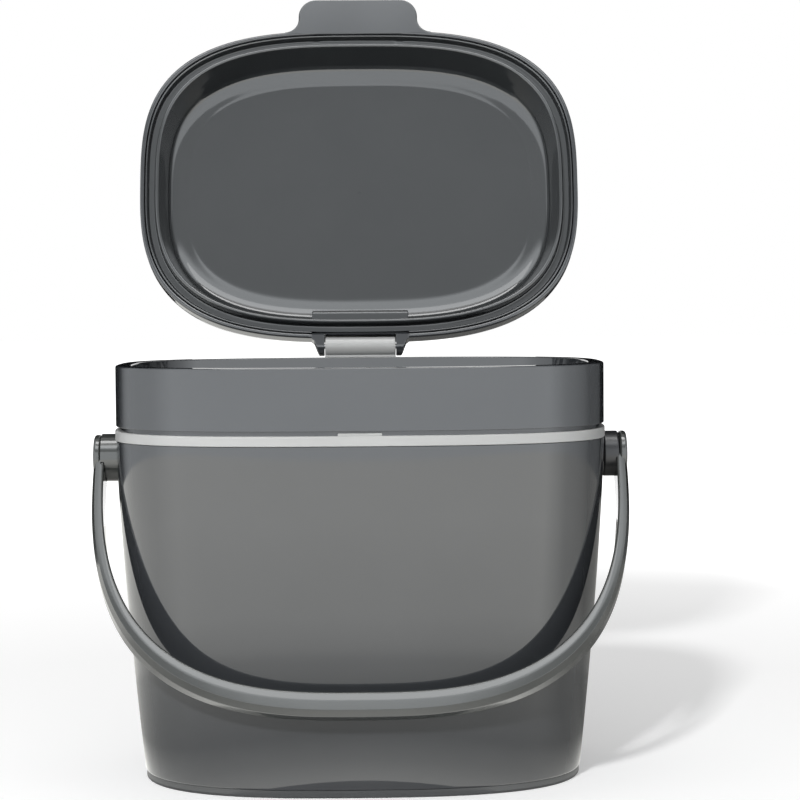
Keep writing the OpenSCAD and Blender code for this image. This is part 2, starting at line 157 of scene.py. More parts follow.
def squareLow(piece, rows, lowest=0.0):
    # each point below the shoulder moves along its own direction to the rounder curve of its height
    p = plan["power"]
    sameHeight = 2e-5
    for v in piece.data.vertices:
        x, y, z = v.co
        level = [(a, b) for a, b, height in rows if abs(height - z) < sameHeight]
        a, b = min(level, key=lambda ab: abs(abs(x / ab[0]) ** p + abs(y / ab[1]) ** p - 1))
        low = powerAt(max(z, lowest))
        k = (abs(x / a) ** low + abs(y / b) ** low) ** (-1 / low)
        v.co = (x * k, y * k, z)


def gridSkin(name, rings, sides, pointAt):
    # a grid rolled into a tube with closed ends: pointAt(ring, side) gives the place of each point
    deselectAll()
    bpy.ops.mesh.primitive_grid_add(x_subdivisions=sides, y_subdivisions=rings, size=2)
    piece = named(bpy.context.object, name)
    for v in piece.data.vertices:
        side = round((v.co.x + 1) / 2 * sides)
        ring = round((v.co.y + 1) / 2 * rings)
        v.co = pointAt(ring, side % sides)
    bpy.ops.object.mode_set(mode="EDIT")
    bpy.ops.mesh.select_all(action="SELECT")
    bpy.ops.mesh.remove_doubles(threshold=samePlace)
    bpy.ops.mesh.select_non_manifold(extend=False)
    bpy.ops.mesh.edge_face_add()
    closeUp()
    return piece


def addModifier(piece, kind, **settings):
    selectOnly(piece)
    mod = piece.modifiers.new(kind.title(), kind)
    for key, value in settings.items():
        setattr(mod, key, value)
    bpy.ops.object.modifier_apply(modifier=mod.name)


def roundEdges(piece, width, segments):
    limit = math.radians(edgeAngles["bevelFrom"])
    addModifier(piece, "BEVEL", width=width, segments=segments, limit_method="ANGLE", angle_limit=limit)


def plate(name, outline, depth, bevel=0.0, segments=3):
    # an outline of (x, y) points, filled, extruded up by depth and with its edges rounded
    deselectAll()
    bpy.ops.mesh.primitive_circle_add(vertices=len(outline), radius=1, fill_type="NGON")
    piece = named(bpy.context.object, name)
    for v, (x, y) in zip(piece.data.vertices, outline):
        v.co = (x, y, 0)
    bpy.ops.object.mode_set(mode="EDIT")
    bpy.ops.mesh.select_all(action="SELECT")
    bpy.ops.mesh.extrude_region_move(TRANSFORM_OT_translate={"value": (0, 0, depth)})
    closeUp()
    if bevel:
        roundEdges(piece, bevel, segments)
    return piece


def cylinder(name, radius, depth, centre, axis, sides, bevel=0.0, segments=3):
    deselectAll()
    turn = {"X": (0, math.pi / 2, 0), "Y": (math.pi / 2, 0, 0), "Z": (0, 0, 0)}[axis]
    bpy.ops.mesh.primitive_cylinder_add(
        vertices=sides, radius=radius, depth=depth, location=centre, rotation=turn)
    piece = named(bpy.context.object, name)
    bpy.ops.object.transform_apply(location=True, rotation=True, scale=True)
    if bevel:
        roundEdges(piece, bevel, segments)
    return piece


def rod(name, radius, lowX, highX, z, sides, bevel=0.0, segments=3):
    # a cylinder along X from lowX to highX, at height z in the middle of the depth
    return cylinder(name, radius, highX - lowX, ((lowX + highX) / 2, 0, z), "X", sides, bevel, segments)


def block(name, low, high):
    deselectAll()
    low, high = Vector(low), Vector(high)
    bpy.ops.mesh.primitive_cube_add(size=1, location=(low + high) / 2)
    piece = named(bpy.context.object, name)
    piece.scale = high - low
    bpy.ops.object.transform_apply(location=True, rotation=True, scale=True)
    return piece


def place(piece, matrix):
    # moves the piece's mesh, and leaves its object at the origin
    selectOnly(piece)
    piece.matrix_world = matrix
    bpy.context.view_layer.update()
    bpy.ops.object.transform_apply(location=True, rotation=True, scale=True)
    return piece


def alongX(piece, x):
    # an outline drawn as (y, z) and extruded: its depth now runs along X from x
    turn = Matrix(((0, 0, 1, 0), (1, 0, 0, 0), (0, 1, 0, 0), (0, 0, 0, 1)))
    return place(piece, Matrix.Translation((x, 0, 0)) @ turn)


def mirrored(piece):
    # to the other side of the middle, with its faces turned out again
    place(piece, Matrix.Diagonal((-1, 1, 1, 1)))
    selectOnly(piece)
    bpy.ops.object.mode_set(mode="EDIT")
    closeUp()
    return piece


def combine(piece, other, kind):
    addModifier(piece, "BOOLEAN", operation=kind, solver="EXACT", object=other)
    bpy.data.objects.remove(other)


def cutWith(piece, cutter):
    combine(piece, cutter, "DIFFERENCE")


def joinAll(pieces):
    deselectAll()
    for piece in pieces:
        piece.select_set(True)
    bpy.context.view_layer.objects.active = pieces[0]
    bpy.ops.object.join()
    return pieces[0]


def dress(piece, material, body, node):
    selectOnly(piece)
    bpy.ops.object.shade_smooth_by_angle(angle=math.radians(edgeAngles["smoothBelow"]))
    addModifier(piece, "WEIGHTED_NORMAL", keep_sharp=True)
    piece.data.materials.clear()
    piece.data.materials.append(material)
    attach(piece, body)
    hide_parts(node)


# each finish has a colour and a darker shade of it, a roughness from and to, and the grain of its skin
finishValues = {
    "darkGloss": {"colour": (0.040, 0.043, 0.047), "shade": (0.036, 0.039, 0.043),
                  "rough": (0.04, 0.07), "grain": 0.02, "grainScale": 220},
    "linerGloss": {"colour": (0.040, 0.043, 0.045), "shade": (0.036, 0.039, 0.041),
                   "rough": (0.05, 0.09), "grain": 0.02, "grainScale": 160},
    "handleGrey": {"colour": (0.044, 0.047, 0.045), "shade": (0.039, 0.042, 0.040),
                   "rough": (0.07, 0.11), "grain": 0.04, "grainScale": 600},
    "bearingBlack": {"colour": (0.020, 0.020, 0.022), "shade": (0.016, 0.016, 0.018),
                     "rough": (0.26, 0.34), "grain": 0.06, "grainScale": 700, "specular": 0.3},
    "lightGrey": {"colour": (0.46, 0.465, 0.46), "shade": (0.425, 0.43, 0.425),
                  "rough": (0.28, 0.36), "grain": 0.06, "grainScale": 900, "specular": 0.25},
    "footRubber": {"colour": (0.030, 0.031, 0.032), "shade": (0.022, 0.023, 0.024),
                   "rough": (0.45, 0.60), "grain": 0.25, "grainScale": 1400},
    "steel": {"colour": (0.62, 0.62, 0.63), "shade": (0.50, 0.50, 0.52), "rough": (0.22, 0.36),
              "grain": 0.08, "grainScale": 900, "blotchScale": 60.0, "metallic": 1.0},
}
# shared by all finishes: detail of the drift, where it turns from shade to colour, and the skin's texture
finishTexture = {"driftDetail": 3.0, "driftFrom": 0.3, "driftTo": 0.7, "skinDetail": 2.0, "skinHigh": 0.0002}


def makeFinish(name, colour, shade, rough, grain, grainScale, blotchScale=18.0, specular=0.5, metallic=0.0):
    # slow colour drift, slightly uneven gloss and a faint skin texture
    mat = bpy.data.materials.new(name)
    mat.use_nodes = True
    nodes, links = mat.node_tree.nodes, mat.node_tree.links
    shader = nodes["Principled BSDF"]
    shader.inputs["Specular IOR Level"].default_value = specular
    shader.inputs["Metallic"].default_value = metallic
    where = nodes.new("ShaderNodeTexCoord")
    drift = nodes.new("ShaderNodeTexNoise")
    drift.inputs["Scale"].default_value = blotchScale
    drift.inputs["Detail"].default_value = finishTexture["driftDetail"]
    links.new(where.outputs["Object"], drift.inputs["Vector"])
    tone = nodes.new("ShaderNodeValToRGB")
    darkEnd, lightEnd = tone.color_ramp.elements
    darkEnd.position = finishTexture["driftFrom"]
    darkEnd.color = (*shade, 1)
    lightEnd.position = finishTexture["driftTo"]
    lightEnd.color = (*colour, 1)
    links.new(drift.outputs["Fac"], tone.inputs["Fac"])
    links.new(tone.outputs["Color"], shader.inputs["Base Color"])
    gloss = nodes.new("ShaderNodeMapRange")
    gloss.inputs["To Min"].default_value = rough[0]
    gloss.inputs["To Max"].default_value = rough[1]
    links.new(drift.outputs["Fac"], gloss.inputs["Value"])
    links.new(gloss.outputs["Result"], shader.inputs["Roughness"])
    skin = nodes.new("ShaderNodeTexNoise")
    skin.inputs["Scale"].default_value = grainScale
    skin.inputs["Detail"].default_value = finishTexture["skinDetail"]
    links.new(where.outputs["Object"], skin.inputs["Vector"])
    bump = nodes.new("ShaderNodeBump")
    bump.inputs["Strength"].default_value = grain
    bump.inputs["Distance"].default_value = finishTexture["skinHigh"]
    links.new(skin.outputs["Fac"], bump.inputs["Height"])
    links.new(bump.outputs["Normal"], shader.inputs["Normal"])
    return mat


finishes = {name: makeFinish(name, **values) for name, values in finishValues.items()}
print("finishes made")

bucketSizes = {
    "taper": 0.0145,         # how much narrower the base is, each side
    "bow": 1.4,              # how low on the wall the taper sits
    "wall": 0.0026,
    "floor": 0.003,
    "baseRound": 0.0012,
    "mouthInset": 0.0046,    # from the wall's outside to the outside of the mouth's upstand
    "mouthWall": 0.0024,
    "edgeRound": 0.0005,
    "stepSlope": 0.0004,     # height of the slope under the mouth, inside
    "wallBelow": 0.001,      # from the underside of the step to the first row of the inner wall
    "outerRows": 26,
    "innerRows": 20,
}


def taperAt(z):
    return bucketSizes["taper"] * max(0.0, (shoulderZ - z) / shoulderZ) ** bucketSizes["bow"]


def wallRows(inset, lowZ, highZ, steps):
    heights = [lowZ + (highZ - lowZ) * i / steps for i in range(steps + 1)]
    return [inPlan(inset + taperAt(z), z) for z in heights]


def makeBucket():
    s = bucketSizes
    r, e = s["baseRound"], s["edgeRound"]
    lowZ = footHigh.z + r
    innerLowZ = footHigh.z + s["floor"] + r
    stepZ = shoulderZ - s["wall"]
    topZ = bucketHigh.z - e
    inner = s["mouthInset"] + s["mouthWall"]
    rows = arcRows(r + taperAt(lowZ), lowZ, r, 270, 180, 10)
    rows += wallRows(0, lowZ, shoulderZ - e, s["outerRows"])[1:]
    rows += arcRows(e, shoulderZ - e, e, 180, 90, 4)[1:]
    rows += [inPlan(s["mouthInset"], shoulderZ), inPlan(s["mouthInset"], topZ)]
    rows += arcRows(s["mouthInset"] + e, topZ, e, 180, 90, 3)[1:]
    rows += arcRows(inner - e, topZ, e, 90, 0, 3)
    rows += [inPlan(inner, stepZ), inPlan(s["wall"], stepZ - s["stepSlope"])]
    rows += wallRows(s["wall"], stepZ - s["wallBelow"], innerLowZ, s["innerRows"])
    rows += arcRows(s["wall"] + r + taperAt(innerLowZ), innerLowZ, r, 180, 270, 8)[1:]
    bucket = loft("bucketShell", rows)
    squareLow(bucket, rows)
    dress(bucket, finishes["darkGloss"], "bucket_body", "bucket")
    print("bucket made")


footSizes = {"land": 0.008, "grooveWide": 0.005, "grooveDeep": 0.001, "round": 0.0006}


def makeFoot():
    s = footSizes
    r = s["round"]
    edge = halfW - footHigh.x                    # inset of the pad's outside
    groove = edge + s["land"]
    grooveEnd = groove + s["grooveWide"]
    rows = [inPlan(grooveEnd, 0), inPlan(grooveEnd, s["grooveDeep"])]
    rows += [inPlan(groove, s["grooveDeep"]), inPlan(groove, 0)]
    rows += arcRows(edge + r, r, r, 270, 180, 4)
    rows += [inPlan(edge, footHigh.z)]
    foot = loft("footPad", rows)
    squareLow(foot, rows, footHigh.z)
    dress(foot, finishes["footRubber"], "bucket_body", "foot_pad")
    print("foot pad made")


ringSizes = {
    "height": 0.0057, "inner": 0.0044, "round": 0.00045, "catchWide": 0.024, "catchHigh": 0.0014,
    "catchThick": 0.0012, "catchIn": 0.0008, "catchRound": 0.0003,
}
ringTop = shoulderZ + ringSizes["height"]


def makeRing():
    s = ringSizes
    r = s["round"]
    proud = halfW - ringHigh.x                   # below zero, as the ring stands proud of the wall
    rows = [inPlan(s["inner"], shoulderZ)]
    rows += arcRows(proud + r, shoulderZ + r, r, 270, 180, 4)
    rows += arcRows(proud + r, ringTop - r, r, 180, 90, 4)
    rows += [inPlan(s["inner"], ringTop), inPlan(s["inner"], shoulderZ)]
    ring = loft("accentRing", rows, hoop=True)
    half = s["catchWide"] / 2
    frontY = -halfD + s["catchIn"]
    backY = frontY + s["catchThick"]
    outline = [(-half, frontY), (half, frontY), (half, backY), (-half, backY)]
    catch = plate("catch", outline, s["catchHigh"] + r, s["catchRound"])
    place(catch, Matrix.Translation((0, 0, ringTop - r)))
    ring = joinAll([ring, catch])
    dress(ring, finishes["lightGrey"], "bucket_body", "accent_ring")
    print("accent ring made")


collarSizes = {
    "wall": 0.0026, "gap": 0.0024, "gapDeep": 0.0022, "land": 0.009, "step": 0.0085, "ledge": 0.005,
    "edgeRound": 0.001, "innerRound": 0.0008, "lowRound": 0.0003, "seatHigh": 0.007, "seatIn": 0.0043,
    "draft": 0.0007, "wallMargin": 0.002, "landMargin": 0.0015,
}


def makeCollar():
    # the margins add rows that keep the wall and the land flat beside their rounded edges
    s = collarSizes
    lowZ = ringTop + s["gap"]
    ledgeZ = rimZ - s["step"]
    opening = s["land"] + s["ledge"]
    wall, land = s["wall"], s["land"]
    e, i, b = s["edgeRound"], s["innerRound"], s["lowRound"]
    rows = [inPlan(s["gapDeep"], lowZ)]
    rows += arcRows(b, lowZ + b, b, 270, 180, 3)
    rows += [inPlan(0, lowZ + s["wallMargin"]), inPlan(0, rimZ - e - s["wallMargin"])]
    rows += arcRows(e, rimZ - e, e, 180, 90, 6)
    rows += [inPlan(e + s["landMargin"], rimZ), inPlan(land - i - s["landMargin"], rimZ)]
    rows += arcRows(land - i, rimZ - i, i, 90, 0, 5)
    rows += arcRows(land + s["draft"] + i, ledgeZ + i, i, 180, 270, 4)
    rows += arcRows(opening - i, ledgeZ - i, i, 90, 0, 5)
    rows += [inPlan(opening, collarLow.z), inPlan(opening - wall, collarLow.z)]
    rows += [inPlan(opening - wall, ledgeZ - wall), inPlan(land - wall, ledgeZ - wall)]
    rows += [inPlan(land - wall, rimZ - wall), inPlan(wall, rimZ - wall)]
    rows += [inPlan(wall, lowZ + s["seatHigh"]), inPlan(s["seatIn"], lowZ + s["seatHigh"])]
    rows += [inPlan(s["seatIn"], ringTop), inPlan(s["gapDeep"], ringTop), inPlan(s["gapDeep"], lowZ)]
    collar = loft("collarFrame", rows, hoop=True)
    dress(collar, finishes["darkGloss"], "collar_body", "collar")
    print("collar made")


bracketSizes = {"barrel": 0.012, "bore": 0.0031, "legThick": 0.0035, "round": 0.0008}
screwSizes = {
    "head": 0.0056, "headThick": 0.0018, "headRound": 0.0004, "shaft": 0.003, "shaftIn": 0.0004,
    "slot": 0.0024, "slotDeep": 0.001,
}


def makeBracket():
    s = bracketSizes
    long = bracketHigh.x - bracketLow.x
    barrel = cylinder("hingeBarrel", s["barrel"] / 2, long, hinge, "X", 96, s["round"], 4)
    cutWith(barrel, cylinder("bore", s["bore"] / 2, 1.2 * long, hinge, "X", 48))
    half = long / 2
    high = hinge.z - bracketLow.z
    outline = [(-half, 0), (half, 0), (half, high), (-half, high)]
    leg = plate("leg", outline, s["legThick"], s["round"], 4)
    legY = screwHigh.y - screwSizes["headThick"]      # the screw heads sit on the leg's back
    place(leg, Matrix.Translation((0, legY, bracketLow.z)) @ Matrix.Rotation(math.pi / 2, 4, "X"))
    bracket = named(joinAll([barrel, leg]), "hingeBracket")
    dress(bracket, finishes["lightGrey"], "collar_body", "hinge_bracket")
    print("hinge bracket made")


def makeScrews():
    s = screwSizes
    x = screwHigh.x - s["head"] / 2
    z = (screwLow.z + screwHigh.z) / 2
    headAt = (x, screwHigh.y - s["headThick"] / 2, z)
    head = cylinder("screwHead", s["head"] / 2, s["headThick"], headAt, "Y", 64, s["headRound"])
    reach = screwHigh.y - s["shaftIn"] - screwLow.y
    shaft = cylinder("screwShaft", s["shaft"] / 2, reach, (x, screwLow.y + reach / 2, z), "Y", 48)
    combine(head, shaft, "UNION")
    cutWith(head, cylinder("screwSlot", s["slot"] / 2, 2 * s["slotDeep"], (x, screwHigh.y, z), "Y", 6))
    other = head.copy()
    other.data = head.data.copy()
    bpy.context.scene.collection.objects.link(other)
    place(other, Matrix.Translation((-2 * x, 0, 0)))
    screws = named(joinAll([head, other]), "hingeScrews")
    dress(screws, finishes["steel"], "collar_body", "hinge_screws")
    print("hinge screws made")


lidSizes = {
    "inset": 0.001,          # from the collar's edge to the lid's
    "gap": 0.0006,           # between the collar's rim and the shut lid
    "high": 0.031,
    "cover": 0.0028,         # thickness of the cover
    "liner": 0.0015,         # thickness of the liner
    "linerGap": 0.0002,
    "edgeRound": 0.0012,
    "edgeMargin": 0.001,     # from the rounded edge to the next row of the wall
    "channel": 0.0055,       # depth of the channel round the rib
    "ribIn": 0.0097,
    "ribThick": 0.0025,
    "ribReach": 0.0015,      # how far the rib's crest reaches below the lid's edge
    "lean": 0.0045,          # how far the recess's wall leans in
    "seam": 0.0004,
}
lidZ = rimZ + lidSizes["gap"]                    # edge of the shut lid
domeHigh = lidSizes["high"] - lidSizes["cover"] - lidSizes["liner"] - lidSizes["linerGap"]


def openLid(piece):
    # from the shut place to the open one, about the hinge line
    turn = Matrix.Rotation(-openTurn, 4, "X")
    return place(piece, Matrix.Translation(hinge) @ turn @ Matrix.Translation(-hinge))


def coverRows(inset, drop):
    # inset from the lid's edge, scale, and share of the lid's height; the crown's rows take no extra inset
    crown = 0.034
    shape = [(0, 1, 0.30), (0, 1, 0.32), (0.0006, 1, 0.48), (0.0026, 1, 0.63), (0.007, 1, 0.77)]
    shape += [(0.014, 1, 0.87), (0.023, 1, 0.925), (crown, 1, 0.955), (crown, 0.75, 0.982)]
    shape += [(crown, 0.4, 0.996), (crown, 0.1, 1)]
    rows = []
    for i, scale, up in shape:
        edge = lidSizes["inset"] + i + (0 if i == crown else inset)
        rows.append(inPlan(edge, lidZ + lidSizes["high"] * up + drop, scale))
    return rows


def domeRows(start, drop):
    # the same for the liner's recess, from the top of its wall to the middle
    shape = [(0, 1, 0.70), (0.0006, 1, 0.77), (0.0024, 1, 0.835), (0.0056, 1, 0.88), (0.0105, 1, 0.91)]
    shape += [(0.017, 1, 0.935), (0.023, 0.75, 0.975), (0.023, 0.4, 0.995), (0.023, 0.1, 1)]
    edge = lidSizes["inset"] + start
    return [inPlan(edge + i, lidZ + domeHigh * up + drop, scale) for i, scale, up in shape]


tabSizes = {
    "wide": 0.077, "out": 0.021, "thick": 0.003, "corner": 0.0115, "flare": 0.009, "round": 0.0012,
    "edgeBack": 0.0011,      # how far the lid's edge has curved back where the flares meet it
}


def makeTab():
    s = tabSizes
    half, r, flare = s["wide"] / 2, s["corner"], s["flare"]
    edgeY = -(halfD - lidSizes["inset"])
    frontY, rootY = edgeY - s["out"], edgeY + lidSizes["cover"]
    meetY = edgeY + s["edgeBack"]
    outline = arcPoints(-half + r, frontY + r, r, 180, 270)
    outline += arcPoints(half - r, frontY + r, r, 270, 360)
    outline += arcPoints(half + flare, meetY - flare, flare, 180, 90)
    outline += [(half + flare, rootY), (-half - flare, rootY)]
    outline += arcPoints(-half - flare, meetY - flare, flare, 90, 0)
    tab = plate("tab", outline, s["thick"], s["round"], 4)
    return place(tab, Matrix.Translation((0, 0, lidZ)))


hingeSizes = {
    "gap": bracketHigh.x + 0.0003,     # half the space between the ears, with room beside the barrel
    "pocket": 0.0066,                  # radius of the hollow round the barrel
    "skin": 0.0022,                    # wall of the housing round that hollow
    "ear": 0.006,                      # radius of an ear's end
    "earRoot": 0.0308,                 # outside of an ear at the lid's edge, from the middle
    "earEnd": 0.0255,                  # the same at its end
    "earRound": 0.0009,
    "flare": 0.0016,
    "taperHigh": 0.03,
    "taperBelow": 0.005,
    "bulgeIn": 0.0004,
    "linerCut": 0.0155,                # height of the gap in the liner over the hinge
}


def makeEar(side):
    # the ear is as wide as earRoot at the lid's edge and narrows towards its end
    s = hingeSizes
    r, flare = s["ear"], s["flare"]
    edgeY = halfD - lidSizes["inset"]
    rootY = edgeY - lidSizes["cover"]
    endY = hinge.y + r
    profile = [(rootY, lidZ)] + arcPoints(hinge.y, hinge.z, r, -88, 90, 24) + [(rootY, hinge.z + r)]
    ear = alongX(plate("ear", profile, s["earRoot"] - s["gap"]), s["gap"])
    inner, outer = s["gap"] - past, s["earRoot"]
    slope = (outer - s["earEnd"]) / (endY - rootY)
    taper = [(inner, rootY - past), (outer + flare, rootY - past)]
    for k in (0, 0.25, 0.5, 0.75, 1):
        x = outer - slope * (edgeY - rootY + flare * k) + flare * (1 - k) ** 2
        taper.append((x, edgeY + flare * k))
    taper += [(s["earEnd"], endY + past), (inner, endY + past)]
    keep = place(plate("earTaper", taper, s["taperHigh"]), Matrix.Translation((0, 0, lidZ - s["taperBelow"])))
    combine(ear, keep, "INTERSECT")
    roundEdges(ear, s["earRound"], 3)
    return ear if side > 0 else mirrored(ear)


def makeBulge():
    # the rounded housing over the barrel, inside the cover
    s = hingeSizes
    bulge = cylinder("bulge", s["pocket"] + s["skin"], 2 * (s["earRoot"] - s["bulgeIn"]), hinge, "X", 96)
    backY = halfD - lidSizes["inset"] - lidSizes["cover"] / 2
    combine(bulge, block("keep", (-halfW, 0, lidZ), (halfW, backY, 1)), "INTERSECT")
    return bulge


def makeLidCover():
    s = lidSizes
    e = s["edgeRound"]
    outside, inside = s["inset"], s["inset"] + s["cover"]
    marginZ = lidZ + e + s["edgeMargin"]
    outer = smoothRows(coverRows(0, 0), 5)
    inner = smoothRows(coverRows(s["cover"], -s["cover"]), 3)
    rows = inner[::-1]
    rows += [inPlan(inside, marginZ)]
    rows += arcRows(inside - e, lidZ + e, e, 0, -90, 4)
    rows += arcRows(outside + e, lidZ + e, e, 270, 180, 5)
    rows += [inPlan(outside, marginZ)] + outer
    cover = loft("lidCover", rows, pole=True)
    extra = makeTab()
    for side in (-1, 1):
        combine(extra, makeEar(side), "UNION")
    combine(extra, makeBulge(), "UNION")
    combine(cover, extra, "UNION")
    pocket, gap = hingeSizes["pocket"], hingeSizes["gap"]
    cutWith(cover, cylinder("pocket", pocket, 2 * gap, hinge, "X", 96))
    cutWith(cover, block("slot", (-gap, hinge.y - pocket, lidZ - past), (gap, hinge.y + pocket, hinge.z)))
    cutWith(cover, cylinder("pinHole", (pinHigh.z - pinLow.z) / 2, 4 * gap, hinge, "X", 48))
    openLid(cover)
    dress(cover, finishes["darkGloss"], "lid_body", "lid_cover")
    print("lid cover made")


padSizes = {
    "wide": 0.061, "out": 0.0052, "round": 0.0009,
    "rootIn": 0.001, "rootUp": 0.0026, "frontUp": 0.003,     # where its lower edge meets the rib's crest
}


def makePad():
    # the pad over the hinge: its (y, z) outline goes from the rib's crest to the recess's floor
    s, lid = padSizes, lidSizes
    wallY = halfD - lid["inset"] - lid["ribIn"] - lid["ribThick"]
    frontY = wallY - s["out"]
    crestZ = lidZ - lid["ribReach"]
    floorZ = lidZ + lid["channel"]
    outline = [
        (wallY - lid["lean"] / 2, floorZ + s["out"]), (frontY - lid["lean"] / 2, floorZ),
        (frontY, crestZ + s["frontUp"]), (wallY + s["rootIn"], crestZ + s["rootUp"]),
    ]
    return alongX(plate("pad", outline, s["wide"], s["round"]), -s["wide"] / 2)


# shallow round marks left by the mould: places (x, y) of those in the channel, and sizes of all
markSizes = {
    "corner": (0.1055, -0.082), "front": (0.027, -0.097), "sideOut": 0.0002, "radius": 0.0020,
    "deep": 0.00025, "gateRadius": 0.0012,
}


def makeMarks():
    # the cutters of the marks: three on each side of the channel, and one in the recess's middle
    s, lid = markSizes, lidSizes
    channelX = halfW - lid["inset"] - (lid["cover"] + lid["seam"] + lid["ribIn"]) / 2 - s["sideOut"]
    spots = [(side * x, y) for x, y in ((channelX, 0.0), s["corner"], s["front"]) for side in (-1, 1)]
    floorZ = lidZ + lid["channel"]
    marks = [cylinder("mark", s["radius"], 2 * s["deep"], (x, y, floorZ), "Z", 32) for x, y in spots]
    marks += [cylinder("gate", s["gateRadius"], 4 * s["deep"], (0, 0, lidZ + domeHigh), "Z", 32)]
    return joinAll(marks)


# the channel's floor has rounded corners, and a thin lip stands down from it along the cover's wall
channelSizes = {"round": 0.0008, "draft": 0.0004, "lipFoot": 0.0018, "lipRound": 0.0006, "lipEdge": 0.0014}


def makeLidLiner():
    s, channel = lidSizes, channelSizes
    ribOut = s["inset"] + s["ribIn"]
    ribIn = ribOut + s["ribThick"]
    crest = s["ribThick"] / 2
    lowZ = lidZ - s["ribReach"]
    floorZ = lidZ + s["channel"]
    lipOut = s["inset"] + s["cover"] + s["seam"]
    wallTop = s["ribIn"] + s["ribThick"] + s["lean"]
    face = smoothRows(domeRows(wallTop, 0), 5)
    back = smoothRows(domeRows(wallTop - s["liner"] / 2, s["liner"]), 3)
    wallTopZ = face[0][2]
    r, lip = channel["round"], channel["lipRound"]
    rows = face[::-1]
    for k in (0.8, 0.6, 0.4, 0.2):
        rows += [inPlan(ribIn + s["lean"] * k, lowZ + crest + (wallTopZ - lowZ - crest) * k)]
    rows += arcRows(ribOut + crest, lowZ + crest, crest, 0, -180, 10)
    rows += [inPlan(ribOut - channel["draft"], floorZ - r)]
    rows += arcRows(ribOut - channel["draft"] - r, floorZ - r, r, 0, 90, 3)[1:]
    rows += arcRows(lipOut + channel["lipFoot"] + r, floorZ - r, r, 90, 180, 3)
    rows += [inPlan(lipOut + 2 * lip, lidZ + channel["lipEdge"])]
    rows += arcRows(lipOut + lip, lidZ + channel["lipEdge"], lip, 0, -180, 6)[1:]
    rows += [inPlan(lipOut, floorZ + s["liner"]), inPlan(ribIn - r, floorZ + s["liner"])]
    rows += back
    liner = loft("lidLiner", rows, pole=True)
    combine(liner, makePad(), "UNION")
    wide = hingeSizes["earRoot"]
    cutY = hinge.y - hingeSizes["pocket"] - hingeSizes["skin"] - s["linerGap"]
    hingeCut = block("hingeCut", (-wide, cutY, lowZ - past), (wide, halfD, lidZ + hingeSizes["linerCut"]))
    cutWith(liner, joinAll([hingeCut, makeMarks()]))
    openLid(liner)
    dress(liner, finishes["linerGloss"], "lid_body", "lid_liner")
    print("lid liner made")


pivotSizes = {
    "thick": 0.009, "round": 0.0012, "bore": 0.0061, "spigot": 0.010,
    "lip": 0.0116, "lipThick": 0.0014, "lipRound": 0.0003,
    "pin": 0.006, "pinIn": 0.0004, "head": 0.012, "headThick": 0.0016, "headRound": 0.0004,
    "dimpleIn": 0.0016, "dimpleDeep": 0.0004,
}
bearingR = (bearingHigh.z - bearingLow.z) / 2


def makeBearing(side):
    # a round boss on the wall, its spigot through the wall and a snap lip behind it
    s = pivotSizes
    seatX = bearingHigh.x - s["thick"]
    bearing = rod("boss", bearingR, seatX, bearingHigh.x, pivotZ, 128, s["round"], 5)
    spigot = rod("spigot", s["spigot"] / 2, bearingLow.x, seatX, pivotZ, 64)
    lipEnd = bearingLow.x + s["lipThick"]
    lip = rod("lip", s["lip"] / 2, bearingLow.x, lipEnd, pivotZ, 64, s["lipRound"])
    for part in (spigot, lip):
        combine(bearing, part, "UNION")
    cutWith(bearing, rod("bore", s["bore"] / 2, seatX, bearingHigh.x + past, pivotZ, 64))
    if side < 0:
        mirrored(bearing)
    sideName = "right" if side > 0 else "left"
    named(bearing, sideName + "Bearing")
    dress(bearing, finishes["bearingBlack"], "bucket_body", sideName + "_bearing")


def makePivotPin(side):
    # the pin through the handle's end, with a shallow round dimple in its head
    s = pivotSizes
    low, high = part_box("right_pivot_pin")
    pin = rod("pinHead", s["head"] / 2, high.x - s["headThick"], high.x, pivotZ, 96, s["headRound"])
    combine(pin, rod("pinShaft", s["pin"] / 2, low.x, high.x - s["pinIn"], pivotZ, 48), "UNION")
    dimpleR = s["head"] / 2 - s["dimpleIn"]
    cutWith(pin, rod("dimple", dimpleR, high.x - s["dimpleDeep"], high.x + s["dimpleDeep"], pivotZ, 96))
    if side < 0:
        mirrored(pin)
    sideName = "right" if side > 0 else "left"
    named(pin, sideName + "PivotPin")
    dress(pin, finishes["bearingBlack"], "handle_body", sideName + "_pivot_pin")


handleSizes = {
    "reach": 0.1725,         # from the pivots to the outside of the grip
    "power": 2.85,           # squareness of the bow
    "armThick": 0.0068, "armWide": 0.020, "gripThick": 0.013, "gripWide": 0.0115,
    "rings": 220,
    "endTurn": 0.4,          # where the bow starts and ends short of the pivots' line, in degrees
    "lookTurn": 0.2,         # how far on each side of a ring the bow's direction is read, in degrees
    "eyeThick": 0.00442, "eyeRound": 0.0016, "eyeGap": 0.0006, "headGap": 0.0002,
    "cutLong": 0.02, "boreLong": 0.05,     # lengths of the cutters
}
# the section: a slightly bulged face, a crisp line near its outer side and a slanted face outside the line
sectionSizes = {
    "strip": 0.0018,         # from the outer side to the crisp line
    "faceIn": 0.0006, "lineIn": 0.0012, "slantIn": 0.006,
    "lineRound": 0.0003, "slantRound": 0.0025, "backRound": 0.0016,
    "innerRound": 0.15,      # as a share of the thickness, as is faceRound
    "faceRound": 1.8,
    "armBulge": 0.06, "gripBulge": 0.02,
}


